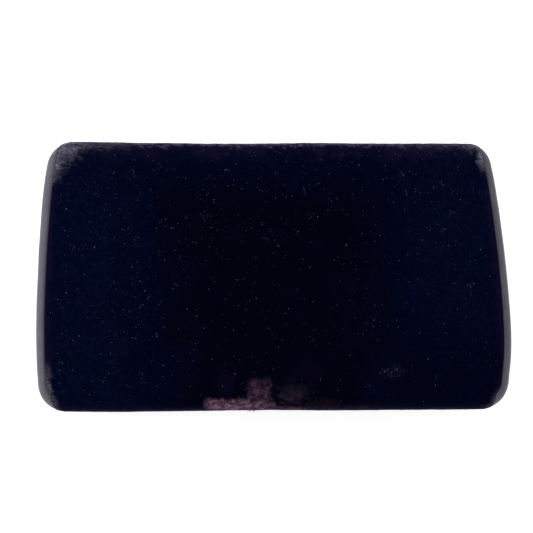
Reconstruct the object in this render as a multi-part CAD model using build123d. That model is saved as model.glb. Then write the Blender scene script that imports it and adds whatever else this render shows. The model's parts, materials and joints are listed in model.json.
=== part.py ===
from build123d import *
import os
from math import radians, sqrt, tan

# A velvet-covered clamshell case for a bar of rosin, closed. Millimetres, +Z up.
# X runs along the case, -Y is the front, where it opens, and +Y is the hinge side.
# The origin is under the middle of the case, on the plane it stands on.

# Case, measured over the velvet
WIDTH = 54.2                # front to back
HEIGHT = 26.0
PARTING_Z = 13.5            # the lid meets the base here
RIM_GAP = 0.3               # between the two rims when closed
END_REACH = 48.2            # middle to the furthest point of an end curve
END_RADIUS = 190.0          # the ends bulge gently in plan
END_CENTRE_Y = -10.5        # the bulge is widest in front of the middle
BACK_CORNER = 5.0
FRONT_CORNER = 6.0
CORNER_FOLLOW = 0.9         # how far an inset outline's corners tighten, per mm of inset
TOP_SHOULDER = 3.0
BOTTOM_SHOULDER = 1.8

# Layers, from the outside inwards
VELVET = 1.0
PANEL_RECESS = 0.2          # the pile stands this much above the end panels
SHELL = 1.4
WALL = VELVET + SHELL
FRONT_RAIL = 2.4            # extra thickness of the front walls, which hold the magnets
LINING = 0.5
FIT = 0.3                   # clearance between the collar and the lined lid

# Seam between the velvet and an end panel
SEAM_INSET = 1.8            # from the end curve, over the top
SEAM_GAP = 0.15
VELVET_ENDS = (             # where the velvet strip's edge runs round the corners: x, y
    (43.0, 26.6), (43.8, 20.0), (46.1, -20.1), (44.2, -26.5),
)

# Hinge
PIN_RADIUS = 0.5
PIN_CLEARANCE = 0.05
KNUCKLE_RADIUS = 1.1
KNUCKLES = 5
KNUCKLE_GAP = 0.3
HINGE_LENGTH = 44.0
HINGE_Y = WIDTH / 2 - KNUCKLE_RADIUS - 0.1
LEAF = 0.6
LEAF_REACH = 5.5            # from the parting plane to the far edge of a leaf
KNUCKLE_RELIEF = 0.35       # air round a turning knuckle
WINDOW_MARGIN = 1.0         # round a leaf, in what lies inside the back wall
GUTTER_ANGLE = 50.0         # bevel of each back rim, which lets the lid open past 90 degrees
GUTTER_DEPTH = 0.3          # the bevels start this far inside the hinge axis

# Rivets and magnets
RIVET_RADIUS = 0.6
RIVET_HEAD_RADIUS = 1.2
RIVET_HEAD = 0.5
RIVET_HEAD_TAPER = 0.6
RIVET_FIT = 0.02
RIVET_PITCH = 16.0
RIVET_DROP = 3.6            # from the parting plane
MAGNET_RADIUS = 1.5
MAGNET_DEPTH = 2.0
MAGNET_X = 27.0

# Inside
COLLAR = 1.0
COLLAR_RISE = 2.0           # above the parting plane
CRADLE_TOP = 12.6
LIP_EDGE = 0.3
CRADLE_FIT = 0.1
CRADLE_EDGE = 0.6
FELT = 1.0
HOLDER_LENGTH = 64.0
HOLDER_WIDTH = 30.0
HOLDER_HEIGHT = 11.0
HOLDER_FLOOR = 3.0
HOLDER_CORNER = 1.2
RECESS_FIT = 0.3
CAKE_LENGTH = 63.0
CAKE_WIDTH = 22.0
CAKE_HEIGHT = 10.5
CAKE_EDGE = 1.4
CAKE_SIDE_FIT = 0.05
BOW_GROOVE_RADIUS = 18.0    # hollow that the bow wears along the cake
BOW_GROOVE_DEPTH = 0.7
NOTCH_WIDTH = 18.0
NOTCH_DEPTH = 5.0
NOTCH_FLOOR = 5.0
NOTCH_CORNER = 2.4
CARD = 0.8
PAD = 3.5
PAD_MARGIN = 0.6
PAD_EDGE = 1.2

COLLAR_INSET = WALL + LINING + FIT
CRADLE_INSET = COLLAR_INSET + COLLAR + CRADLE_FIT
CRADLE_Y = FRONT_RAIL / 2   # the inside is deeper at the back than at the front
CEILING = HEIGHT - WALL
RIM_Y = -WIDTH / 2 + VELVET + (SHELL + FRONT_RAIL) / 2
FAR = 120.0                 # reaches past the case in every direction
BASE, LID = -1, 1           # the two sides of the parting plane


def end_x(y, inset):
    """Half the length of the case at y, for an outline inset from the velvet."""
    return END_REACH - END_RADIUS + sqrt((END_RADIUS - inset) ** 2 - (y - END_CENTRE_Y) ** 2)


def outline(inset, front_extra=0.0):
    """The plan of the case: straight front and back, bulging ends and rounded corners."""
    back = WIDTH / 2 - inset
    front = inset + front_extra - WIDTH / 2
    tip = END_REACH - inset
    x_back = end_x(back, inset)
    x_front = end_x(front, inset)
    face = make_face([
        Line((-x_back, back), (x_back, back)),
        ThreePointArc((x_back, back), (tip, END_CENTRE_Y), (x_front, front)),
        Line((x_front, front), (-x_front, front)),
        ThreePointArc((-x_front, front), (-tip, END_CENTRE_Y), (-x_back, back)),
    ])
    face = fillet(face.vertices().sort_by(Axis.Y)[-2:], BACK_CORNER - inset * CORNER_FOLLOW)
    return fillet(face.vertices().sort_by(Axis.Y)[:2], FRONT_CORNER - inset * CORNER_FOLLOW)


def slab(inset, bottom, top, front_extra=0.0):
    return Pos(0, 0, bottom) * extrude(outline(inset, front_extra), amount=top - bottom)


def ring(outer, inner, bottom, top):
    """A wall that follows the inside of the case between two insets."""
    return slab(outer, bottom, top, FRONT_RAIL) - slab(inner, bottom, top, FRONT_RAIL)


def rounded_case(inset):
    """The whole closed case, inset from the velvet, with its rounded shoulders."""
    body = slab(inset, inset, HEIGHT - inset)
    body = fillet(body.edges().group_by(Axis.Z)[-1], TOP_SHOULDER - inset)
    return fillet(body.edges().group_by(Axis.Z)[0], BOTTOM_SHOULDER - inset)


def block(x0, x1, y0, y1, z0, z1):
    """A box between two corners."""
    return Pos((x0 + x1) / 2, (y0 + y1) / 2, (z0 + z1) / 2) * Box(x1 - x0, y1 - y0, z1 - z0)


def rod(radius, length, x, y, z, turn):
    """A round bar along X, Y or Z, turned from Z by the given angles."""
    return Pos(x, y, z) * Rotation(*turn) * Cylinder(radius, length)


def half(shape, side):
    """What lies on one side of the parting plane, clear of the rim gap."""
    rim = PARTING_Z + side * RIM_GAP / 2
    keep = block(-FAR, FAR, -FAR, FAR, *sorted((rim, rim + side * FAR)))
    return shape & keep


def gutter():
    """The V along the back that the bevelled rims leave."""
    apex = HINGE_Y - GUTTER_DEPTH
    rise = FAR * tan(radians(GUTTER_ANGLE))
    triangle = Polyline(
        (apex, PARTING_Z), (apex + FAR, PARTING_Z + rise), (apex + FAR, PARTING_Z - rise), close=True
    )
    return extrude(Plane.YZ * make_face(triangle), amount=FAR, both=True)


def hinge_pocket():
    """Room through the back wall for the barrel and the leaves' bridges."""
    half_length = HINGE_LENGTH / 2 + KNUCKLE_RELIEF
    half_height = KNUCKLE_RADIUS + KNUCKLE_RELIEF
    return block(-half_length, half_length, WIDTH / 2 - WALL - LINING, FAR,
                 PARTING_Z - half_height, PARTING_Z + half_height)


def hinge_window():
    """Room inside the back wall for the leaves and the rivet heads."""
    half_length = HINGE_LENGTH / 2 + WINDOW_MARGIN
    reach = LEAF_REACH + WINDOW_MARGIN
    return block(-half_length, half_length, WIDTH / 2 - WALL - LEAF - RIVET_HEAD - FIT, FAR,
                 PARTING_Z - reach, PARTING_Z + reach)


def velvet_field(grow):
    """Everything above and below the velvet in plan; what is left belongs to the end panels."""
    over = slab(SEAM_INSET - grow, -1.0, HEIGHT + 1.0)
    edge = [(VELVET_ENDS[0][0], FAR), *VELVET_ENDS, (VELVET_ENDS[-1][0], -FAR)]
    right = [(x + grow, y) for x, y in edge]
    left = [(-x, y) for x, y in reversed(right)]
    walls = Polyline(*right, *left, close=True)
    down = Pos(0, 0, -1.0) * extrude(make_face(walls), amount=HEIGHT + 2.0)
    return over + down


def velvet_cover(side):
    skin = half(rounded_case(0) - rounded_case(VELVET), side)
    return (skin & velvet_field(0)) - gutter() - hinge_pocket()


def end_panel(side, hand):
    """The smooth panel over one end (hand -1 left, 1 right) and its two corners."""
    skin = half(rounded_case(PANEL_RECESS) - rounded_case(VELVET), side)
    panels = skin - velvet_field(SEAM_GAP) - gutter()
    return panels & block(*sorted((0, hand * FAR)), -FAR, FAR, -FAR, FAR)


def shell(side):
    """Thin-walled tray with a thicker front wall."""
    if side == LID:
        cavity = slab(WALL, 0, CEILING, FRONT_RAIL)
    else:
        cavity = slab(WALL, WALL, HEIGHT, FRONT_RAIL)
    tray = half(rounded_case(VELVET), side) - cavity - gutter() - hinge_pocket()
    tray -= rivet_row(side, RIVET_RADIUS + RIVET_FIT, 0)
    return tray - magnets(side)


def rivet_row(side, radius, head_radius):
    """Three rivets through a hinge leaf and the back wall behind it; no head gives their holes."""
    inner = WIDTH / 2 - WALL - LEAF
    outer = WIDTH / 2 - VELVET
    z = PARTING_Z + side * RIVET_DROP
    row = []
    for x in (-RIVET_PITCH, 0, RIVET_PITCH):
        rivet = rod(radius, outer - inner, x, (inner + outer) / 2, z, (90, 0, 0))
        if head_radius:
            head = Cone(head_radius, head_radius * RIVET_HEAD_TAPER, RIVET_HEAD)
            rivet += Pos(x, inner - RIVET_HEAD / 2, z) * Rotation(90, 0, 0) * head
        row.append(rivet)
    return Compound(children=[rivet.solid() for rivet in row])


def magnets(side):
    """Two discs let into the front rim."""
    z = PARTING_Z + side * (RIM_GAP + MAGNET_DEPTH) / 2
    pair = [rod(MAGNET_RADIUS, MAGNET_DEPTH, hand * MAGNET_X, RIM_Y, z, (0, 0, 0)) for hand in (-1, 1)]
    return Compound(children=[disc.solid() for disc in pair])


def hinge_leaf(side):
    """A leaf inside the back wall, bridged through it to its share of the knuckles."""
    length = (HINGE_LENGTH - (KNUCKLES - 1) * KNUCKLE_GAP) / KNUCKLES
    inner = WIDTH / 2 - WALL - LEAF
    near = PARTING_Z + side * RIM_GAP / 2
    shoulder = PARTING_Z + side * (KNUCKLE_RADIUS + KNUCKLE_RELIEF)
    bridge = near + side * LEAF
    leaf = block(-HINGE_LENGTH / 2, HINGE_LENGTH / 2, inner, inner + LEAF,
                 *sorted((shoulder, PARTING_Z + side * LEAF_REACH)))
    bore = PIN_RADIUS + (PIN_CLEARANCE if side == LID else 0)
    for i in range(0 if side == BASE else 1, KNUCKLES, 2):
        x = -HINGE_LENGTH / 2 + length / 2 + i * (length + KNUCKLE_GAP)
        x0, x1 = x - length / 2, x + length / 2
        leaf += block(x0, x1, inner, inner + LEAF, *sorted((near, shoulder)))
        leaf += block(x0, x1, inner, HINGE_Y - (PIN_RADIUS + KNUCKLE_RADIUS) / 2, *sorted((near, bridge)))
        leaf += rod(KNUCKLE_RADIUS, length, x, HINGE_Y, PARTING_Z, (0, 90, 0))
        leaf -= rod(bore, length + 1.0, x, HINGE_Y, PARTING_Z, (0, 90, 0))
    return leaf - rivet_row(side, RIVET_RADIUS + RIVET_FIT, 0)


def hinge_pin():
    return rod(PIN_RADIUS, HINGE_LENGTH, 0, HINGE_Y, PARTING_Z, (0, 90, 0))


def base_collar():
    """Stepped lip: it fills the base to the rim and rises inside the lid."""
    rim = PARTING_Z - RIM_GAP / 2
    step = ring(WALL, COLLAR_INSET + COLLAR, WALL, rim)
    lip = ring(COLLAR_INSET, COLLAR_INSET + COLLAR, WALL, PARTING_Z + COLLAR_RISE)
    lip = fillet(lip.edges().group_by(Axis.Z)[-1], LIP_EDGE)
    return step + lip - hinge_window()


def cradle_block():
    """Insert with a window for the cake and a finger notch at each long side."""
    recess_length = HOLDER_LENGTH + 2 * RECESS_FIT
    recess_width = HOLDER_WIDTH + 2 * RECESS_FIT
    insert = slab(CRADLE_INSET, WALL, CRADLE_TOP, FRONT_RAIL)
    insert -= Pos(0, CRADLE_Y, 0) * Box(recess_length, recess_width, FAR)
    notches = RectangleRounded(NOTCH_WIDTH, recess_width + 2 * NOTCH_DEPTH, NOTCH_CORNER)
    insert -= Pos(0, CRADLE_Y, NOTCH_FLOOR) * extrude(notches, amount=FAR)
    return fillet(insert.edges().group_by(Axis.Z)[-1], CRADLE_EDGE)


def cradle_felt():
    return Pos(0, CRADLE_Y, WALL + FELT / 2) * Box(HOLDER_LENGTH, HOLDER_WIDTH, FELT)


def rosin_holder():
    """Wooden channel, open at both ends."""
    plan = Rectangle(HOLDER_LENGTH, HOLDER_WIDTH)
    body = Pos(0, CRADLE_Y, WALL + FELT) * extrude(plan, amount=HOLDER_HEIGHT)
    body = fillet(body.edges().filter_by(Axis.Z), HOLDER_CORNER)
    body = fillet(body.edges().group_by(Axis.Z)[-1], HOLDER_CORNER / 2)
    half_width = CAKE_WIDTH / 2
    floor = WALL + FELT + HOLDER_FLOOR
    return body - block(-FAR, FAR, CRADLE_Y - half_width, CRADLE_Y + half_width, floor, FAR)


def rosin_cake():
    """The bar of rosin, hollowed along the top by the bow."""
    plan = Rectangle(CAKE_LENGTH, CAKE_WIDTH - 2 * CAKE_SIDE_FIT)
    bottom = WALL + FELT + HOLDER_FLOOR
    bar = Pos(0, CRADLE_Y, bottom) * extrude(plan, amount=CAKE_HEIGHT)
    bar = chamfer(bar.edges().group_by(Axis.Z)[-1], CAKE_EDGE)
    groove_z = bottom + CAKE_HEIGHT + BOW_GROOVE_RADIUS - BOW_GROOVE_DEPTH
    return bar - rod(BOW_GROOVE_RADIUS, FAR, 0, CRADLE_Y, groove_z, (0, 90, 0))


def lid_wall_lining():
    return ring(WALL, WALL + LINING, PARTING_Z + RIM_GAP, CEILING) - hinge_window()


def lid_lining_card():
    return slab(WALL + LINING, CEILING - CARD, CEILING, FRONT_RAIL)


def lid_pad():
    top = CEILING - CARD
    pad = slab(WALL + LINING + PAD_MARGIN, top - PAD, top, FRONT_RAIL)
    return fillet(pad.edges().group_by(Axis.Z)[0], PAD_EDGE)


parts = {
    "base_shell": shell(BASE),
    "base_velvet_cover": velvet_cover(BASE),
    "base_left_end_panel": end_panel(BASE, -1),
    "base_right_end_panel": end_panel(BASE, 1),
    "base_collar": base_collar(),
    "cradle_block": cradle_block(),
    "cradle_felt": cradle_felt(),
    "rosin_holder": rosin_holder(),
    "rosin_cake": rosin_cake(),
    "hinge_base_leaf": hinge_leaf(BASE),
    "hinge_pin": hinge_pin(),
    "base_hinge_rivets": rivet_row(BASE, RIVET_RADIUS, RIVET_HEAD_RADIUS),
    "base_magnets": magnets(BASE),
    "lid_shell": shell(LID),
    "lid_velvet_cover": velvet_cover(LID),
    "lid_left_end_panel": end_panel(LID, -1),
    "lid_right_end_panel": end_panel(LID, 1),
    "lid_wall_lining": lid_wall_lining(),
    "lid_lining_card": lid_lining_card(),
    "lid_pad": lid_pad(),
    "hinge_lid_leaf": hinge_leaf(LID),
    "lid_hinge_rivets": rivet_row(LID, RIVET_RADIUS, RIVET_HEAD_RADIUS),
    "lid_magnets": magnets(LID),
}

os.makedirs("parts", exist_ok=True)
for name, solid in parts.items():
    export_step(solid, f"parts/{name}.step")
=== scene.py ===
import json
from math import atan2, cos, pi, radians, sin, sqrt, tan

import bmesh
import bpy
import numpy as np
from mathutils import Matrix, Vector, noise

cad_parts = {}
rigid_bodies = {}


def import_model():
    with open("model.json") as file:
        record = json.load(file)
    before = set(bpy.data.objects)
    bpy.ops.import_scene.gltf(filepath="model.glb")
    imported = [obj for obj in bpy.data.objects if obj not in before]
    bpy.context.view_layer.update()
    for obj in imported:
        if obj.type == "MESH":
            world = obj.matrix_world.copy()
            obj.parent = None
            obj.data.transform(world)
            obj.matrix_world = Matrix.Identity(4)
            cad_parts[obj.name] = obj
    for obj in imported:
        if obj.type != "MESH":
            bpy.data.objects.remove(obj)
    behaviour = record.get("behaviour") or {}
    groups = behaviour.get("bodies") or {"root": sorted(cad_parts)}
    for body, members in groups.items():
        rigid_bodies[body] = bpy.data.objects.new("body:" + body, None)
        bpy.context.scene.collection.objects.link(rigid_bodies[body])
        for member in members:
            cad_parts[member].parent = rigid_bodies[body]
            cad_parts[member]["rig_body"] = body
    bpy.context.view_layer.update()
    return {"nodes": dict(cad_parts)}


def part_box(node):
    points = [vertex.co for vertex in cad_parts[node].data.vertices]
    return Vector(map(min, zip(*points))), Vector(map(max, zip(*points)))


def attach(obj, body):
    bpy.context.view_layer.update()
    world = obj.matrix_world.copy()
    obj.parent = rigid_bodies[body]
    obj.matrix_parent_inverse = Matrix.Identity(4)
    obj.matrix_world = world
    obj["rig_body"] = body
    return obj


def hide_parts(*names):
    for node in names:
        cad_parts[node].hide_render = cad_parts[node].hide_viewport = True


# The looks of a velvet-covered rosin case. Lengths are millimetres until a mesh is made, in metres.
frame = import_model()
nodes = frame["nodes"]
scene = bpy.context.scene
MM = 0.001
rng = np.random.default_rng(7)


def box_mm(node):
    low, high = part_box(node)
    return np.array(low) / MM, np.array(high) / MM


# ---- the case's outline

END_REACH = 48.2            # middle to the furthest point of an end curve
END_RADIUS = 190.0
END_CENTRE_Y = -10.5
END_CENTRE_X = END_REACH - END_RADIUS
SEAM_INSET = 1.8            # from the end curve to the velvet's edge, over the top
PANEL_GAP = 0.04            # between the velvet's edge and the end panel
PANEL_RECESS = 0.08         # the pile stands this much above the end panels
(_, _, LID_RIM_Z), (HALF_LENGTH, HALF_WIDTH, TOP_Z) = box_mm("lid_velvet_cover")
BASE_RIM_Z = box_mm("base_velvet_cover")[1][2]
PARTING_Z = (LID_RIM_Z + BASE_RIM_Z) / 2
HINGE_Y = sum(box_mm("hinge_pin"))[1] / 2
CROWN_REACH = 20.0          # from the edge to where the wadding reaches its full height
GUTTER_RIM = 1.7            # how far the covers stop short of the parting along the back
GUTTER_ANGLE = radians(50)  # slope of the end panels' lower edge, down to the parting
GUTTER_START = HINGE_Y - 0.5


class Corner:
    """One plan corner: its arc, and where the edge of the velvet strip crosses it."""

    def __init__(self, side, radius, seam_x, slant):
        self.side = side                    # 1 at the back, -1 at the front
        self.radius = radius
        self.seam_x = seam_x                # half the strip's length where it comes down the wall
        self.slant = slant                  # how much longer it gets per mm inwards
        self.y = side * (HALF_WIDTH - radius)
        reach = END_RADIUS - radius
        self.x = END_CENTRE_X + sqrt(reach ** 2 - (self.y - END_CENTRE_Y) ** 2)
        # the direction of the end curve's normal where the corner's arc meets it
        self.end_angle = atan2(self.y - END_CENTRE_Y, self.x - END_CENTRE_X)
        # where the seam meets the corner's arc, and the longest that the strip may get
        self.notch_angle = np.arccos((seam_x - self.x) / radius)
        self.foot_y = HALF_WIDTH - self.drop(seam_x)
        self.longest = end_x(self.y, SEAM_INSET)

    def strip_x(self, y):
        """Half the strip's length at y."""
        length = self.seam_x + self.slant * np.maximum(self.foot_y - np.abs(y), 0)
        return np.minimum(length, self.longest)

    def drop(self, x):
        """How far the outline falls away from the straight wall at x."""
        past = np.clip(np.abs(x) - self.x, 0, self.radius)
        return self.radius - np.sqrt(self.radius ** 2 - past ** 2)


def end_x(y, inset):
    """Half the case's length at y, for an outline inset from the velvet."""
    return END_CENTRE_X + np.sqrt((END_RADIUS - inset) ** 2 - (y - END_CENTRE_Y) ** 2)


BACK = Corner(1, radius=5.0, seam_x=43.0, slant=0.12)
FRONT = Corner(-1, radius=6.0, seam_x=44.2, slant=0.30)


def edge_distance(x, y):
    """How far inside the outline each point of the plan lies."""
    x = np.abs(x)
    wall = HALF_WIDTH - np.abs(y)
    end = END_RADIUS - np.hypot(x - END_CENTRE_X, y - END_CENTRE_Y)
    distance = np.minimum(wall, end)
    for corner in (BACK, FRONT):
        dx, dy = x - corner.x, corner.side * (y - corner.y)
        along = -dx * sin(corner.end_angle) + (y - corner.y) * cos(corner.end_angle)
        inside = (dx > 0) & (dy > 0) & (corner.side * along > 0)
        distance = np.where(inside, corner.radius - np.hypot(dx, y - corner.y), distance)
    return distance


def seam_x(y):
    """Half the length of the velvet over the top and underside, at y."""
    out = end_x(y, SEAM_INSET)
    for corner in (BACK, FRONT):
        reach = corner.radius - SEAM_INSET
        rise = corner.side * (y - corner.y)
        turn = reach * corner.side * sin(corner.end_angle)
        arc = corner.x + np.sqrt(np.maximum(reach ** 2 - rise ** 2, 0))
        out = np.where(rise > max(turn, 0), arc, out)
    return out


class Half:
    """The lid or the base: its rim, its flat outer face and the shoulder round that."""

    def __init__(self, body, rim_z, flat_z, shoulder, crown, seed, panel_seed):
        self.body = body
        self.rim_z = rim_z
        self.flat_z = flat_z
        self.shoulder = shoulder
        self.crown = crown                  # how far wadding lifts the middle
        self.seed = seed
        self.panel_seed = panel_seed
        self.away = 1 if flat_z > rim_z else -1
        self.back_rim_z = rim_z + self.away * GUTTER_RIM

    def height(self, x, y):
        """Height of the outer face over or under a point of the plan."""
        edge = edge_distance(x, y)
        short = self.shoulder - np.clip(edge, 0, self.shoulder)
        drop = self.shoulder - np.sqrt(self.shoulder ** 2 - short ** 2)
        return self.flat_z + self.away * (self.crown * smoothstep(0, CROWN_REACH, edge) - drop)


LID = Half("lid", LID_RIM_Z, TOP_Z, shoulder=3.0, crown=0.55, seed=3, panel_seed=21)
BASE = Half("base", BASE_RIM_Z, 0.0, shoulder=1.8, crown=0.0, seed=8, panel_seed=31)


# ---- mesh helpers

def make_object(name, verts_mm, faces, body):
    """A mesh object riding on a body, from points in millimetres."""
    mesh = bpy.data.meshes.new(name)
    mesh.from_pydata((np.asarray(verts_mm) * MM).tolist(), [], [list(f) for f in faces])
    mesh.validate()
    mesh.update()
    mesh.shade_smooth()
    obj = bpy.data.objects.new(name, mesh)
    scene.collection.objects.link(obj)
    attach(obj, body)
    return obj


def grid_faces(rows, columns, first=0):
    """Quads of a grid stored row by row."""
    r, c = np.meshgrid(np.arange(rows - 1), np.arange(columns - 1), indexing="ij")
    a = first + r * columns + c
    return np.stack([a, a + 1, a + columns + 1, a + columns], axis=-1).reshape(-1, 4)


def grid_normals(points):
    """Unit normals of a grid of points, rows x columns x 3."""
    down = np.gradient(points, axis=0)
    across = np.gradient(points, axis=1)
    normal = np.cross(across, down)
    return normal / np.maximum(np.linalg.norm(normal, axis=-1, keepdims=True), 1e-9)


def graded(length, step, edge):
    """Positions along a length, close together near both edges."""
    fine = [0, 0.04, 0.1, 0.2, 0.32, 0.46]
    fine = [edge * f / fine[-1] for f in fine]
    middle = np.linspace(edge, length - edge, max(3, int(round((length - 2 * edge) / step)) + 1))
    return np.concatenate([fine[:-1], middle, [length - f for f in fine[:-1]][::-1]])


def noise_field(points, scale, seed, octaves=1):
    """Smooth noise from -1 to 1 at points in millimetres; scale is the size of its blobs."""
    shift = Vector((seed * 17.3, seed * 5.9, seed * 11.1))
    flat = points.reshape(-1, 3) / scale
    if octaves == 1:
        values = [noise.noise(Vector(p) + shift) for p in flat]
    else:
        values = [noise.fractal(Vector(p) + shift, 0.6, 2.1, octaves) for p in flat]
    return np.array(values).reshape(points.shape[:-1])


def smoothstep(low, high, value):
    """0 up to low, 1 from high on, and a smooth rise between them."""
    t = np.clip((value - low) / (high - low), 0, 1)
    return t * t * (3 - 2 * t)


def closed_sheet(outer, inner):
    """A closed solid between two grids of the same size: points and faces."""
    rows, columns = outer.shape[:2]
    count = rows * columns
    top = grid_faces(rows, columns)
    under = grid_faces(rows, columns, count)[:, ::-1]
    ring = np.concatenate([
        np.arange(columns),
        np.arange(1, rows) * columns + columns - 1,
        (rows - 1) * columns + np.arange(columns - 2, -1, -1),
        np.arange(rows - 2, 0, -1) * columns,
    ])
    follow = np.roll(ring, -1)
    rim = np.stack([ring, ring + count, follow + count, follow], axis=-1)
    points = np.concatenate([outer.reshape(-1, 3), inner.reshape(-1, 3)])
    return points, np.concatenate([top, under, rim])


def run_along(points, axis):
    """Distance of each grid point from the grid's first edge, along one of its axes."""
    steps = np.diff(points, axis=axis, prepend=points.take([0], axis=axis))
    return np.cumsum(np.linalg.norm(steps, axis=-1), axis=axis)


def arc(x, y, radius, start, end, count):
    """Points round an arc in plan, each with the direction of its normal."""
    angle = np.linspace(start, end, count)
    return np.stack([x + radius * np.cos(angle), y + radius * np.sin(angle), angle], axis=-1)


def path_run(path):
    """Distance along a plan path to each of its points."""
    return np.concatenate([[0], np.cumsum(np.hypot(*np.diff(path[:, :2], axis=0).T))])


def edge_roll(edge, radius):
    """How far a turned edge of this radius falls away, by distance from the edge."""
    return radius - np.sqrt(np.maximum(radius ** 2 - np.maximum(radius - edge, 0) ** 2, 0))


def float_attribute(obj, name, values):
    attribute = obj.data.attributes.new(name, "FLOAT", "POINT")
    attribute.data.foreach_set("value", np.asarray(values, np.float32).ravel())


# ---- velvet covers

VELVET_STEP = 0.45
VELVET_THICKNESS = 0.9
EDGE_ROLL = 0.32            # radius of the velvet's turned edges
# how far the hand-fitted covers bulge past the design along each side: where, and by how much
LEFT_FIT = (
    (-26, -0.05), (-22, -0.33), (-18, -0.22), (0, -0.24), (10, 0.05), (17, 0.42), (21, 0.55), (27, 0.35))
RIGHT_FIT = (
    (-27, 0.1), (-24, 0.0), (-21, 0.03), (-17, 0.36), (-12, 0.36), (-7, 0.18), (0, -0.10), (10, -0.36),
    (20, -0.40), (24, -0.56), (27, -0.48))
FRONT_FIT = ((-43, 0.06), (-30, 0.18), (-16, 0.04), (0, -0.07), (16, 0.10), (40, 0.03))
BACK_FIT = (
    (-44, 0.15), (-39, 0.28), (-30, 0.12), (-18, 0.0), (-12, -0.08), (0, 0.0), (10, 0.12), (20, 0.0))
CORNER_FADE = 11.0          # inset at which a row no longer bends round the corners


def eased(table, where):
    """A table's value at each place, with its corners rounded off."""
    places, values = np.array(table).T
    return sum(np.interp(where + step, places, values) for step in (-1.6, -0.8, 0, 0.8, 1.6)) / 5


def hand_fitted(points):
    """Moves the points of an outer surface sideways by the unevenness of the covering."""
    x, y = points[..., 0], points[..., 1]
    fitted = points.copy()
    fitted[..., 0] += np.where(x < 0, -eased(LEFT_FIT, y), eased(RIGHT_FIT, y)) * np.abs(x) / END_REACH
    fitted[..., 1] += np.where(y < 0, -eased(FRONT_FIT, x), eased(BACK_FIT, x)) * np.abs(y) / HALF_WIDTH
    return fitted


def velvet_rows(half):
    """The cover's cross-section as rows: nearer wall (-1 or 1), inset from it, and height on the wall."""
    shoulder = half.shoulder
    start_z = half.flat_z - half.away * shoulder
    front_wall, back_wall = abs(start_z - half.rim_z), abs(start_z - half.back_rim_z)
    arc_run = shoulder * pi / 2
    length = front_wall + back_wall + 2 * arc_run + 2 * (HALF_WIDTH - shoulder)
    rows = []
    for s in graded(length, VELVET_STEP, EDGE_ROLL):
        t = length - s
        if s < front_wall:
            rows.append((-1, 0.0, half.rim_z + half.away * s))
        elif s < front_wall + arc_run:
            rows.append((-1, shoulder * (1 - cos((s - front_wall) / shoulder)), None))
        elif t < back_wall:
            rows.append((1, 0.0, half.back_rim_z + half.away * t))
        elif t < back_wall + arc_run:
            rows.append((1, shoulder * (1 - cos((t - back_wall) / shoulder)), None))
        else:
            y = s - front_wall - arc_run + shoulder - HALF_WIDTH
            rows.append((1 if y > 0 else -1, HALF_WIDTH - abs(y), None))
    return rows, length


def velvet_surface(half):
    """Grid of points over one half of the case, from the front rim to the back rim."""
    rows, length = velvet_rows(half)
    u = graded(2 * BACK.seam_x, VELVET_STEP, EDGE_ROLL) / BACK.seam_x - 1
    points = np.zeros((len(rows), len(u), 3))
    for i, (side, inset, wall_z) in enumerate(rows):
        corner = BACK if side > 0 else FRONT
        fade = 1 - smoothstep(0, CORNER_FADE, inset)
        reach = corner.seam_x
        for _ in range(4):
            end_y = np.array(side * (HALF_WIDTH - inset - fade * corner.drop(reach)))
            reach = float(np.maximum(corner.strip_x(end_y), seam_x(end_y)))
        x = u * reach
        y = side * (HALF_WIDTH - inset - fade * corner.drop(x))
        z = half.height(x, y) if wall_z is None else np.full_like(x, wall_z)
        points[i] = np.stack([x, y, z], axis=-1)
    return points, length


def seam_run(points):
    """Distance of each grid point from the nearer end seam, along its row."""
    across = run_along(points, 1)
    return np.minimum(across, across[:, -1:] - across)


def velvet_relief(points, seed):
    """Height of the pile: brushed swirls, fine uneven tips and small clumps."""
    swirl = noise_field(points, 9.0, seed, 3) * 0.06
    tips = noise_field(points, 0.75, seed + 1) * 0.055
    clumps = noise_field(points, 2.2, seed + 2) * 0.035
    return swirl + tips + clumps


def velvet_cover(half):
    """The velvet over one half of the case, and the grid that it was made on."""
    points, length = velvet_surface(half)
    normal = grid_normals(points) * half.away
    down = run_along(points, 0)
    edge = np.minimum.reduce([down, down[-1:] - down, seam_run(points)])
    relief = velvet_relief(points, half.seed) * smoothstep(0, 0.8, edge)
    inner = points - normal * VELVET_THICKNESS
    outer = hand_fitted(points + normal * (relief - edge_roll(edge, EDGE_ROLL))[..., None])
    if half is BASE:
        outer[..., 2] = np.maximum(outer[..., 2], 0.0)
    verts, faces = closed_sheet(outer, inner)
    if half is LID:
        faces = faces[:, ::-1]
    obj = make_object(half.body + "_velvet", verts, faces, half.body)
    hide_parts(half.body + "_velvet_cover")
    return obj, points


# ---- end panels

PANEL_THICKNESS = 0.75
PANEL_ROLL = 0.22           # radius of the panels' turned edges
PANEL_STEP = 0.45           # down a panel
PATH_STEP = 0.4             # along it


def end_path():
    """The outline from the back seam round one end to the front seam: points and outward normals."""
    path = np.concatenate([
        arc(BACK.x, BACK.y, BACK.radius, BACK.notch_angle, BACK.end_angle, 60),
        arc(END_CENTRE_X, END_CENTRE_Y, END_RADIUS, BACK.end_angle, FRONT.end_angle, 200)[1:],
        arc(FRONT.x, FRONT.y, FRONT.radius, FRONT.end_angle, -FRONT.notch_angle, 60)[1:],
    ])
    run = path_run(path)
    stops = graded(run[-1] - 2 * PANEL_GAP, PATH_STEP, PANEL_ROLL) + PANEL_GAP
    x, y, angle = (np.interp(stops, run, values) for values in path.T)
    return x, y, np.cos(angle), np.sin(angle)


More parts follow.
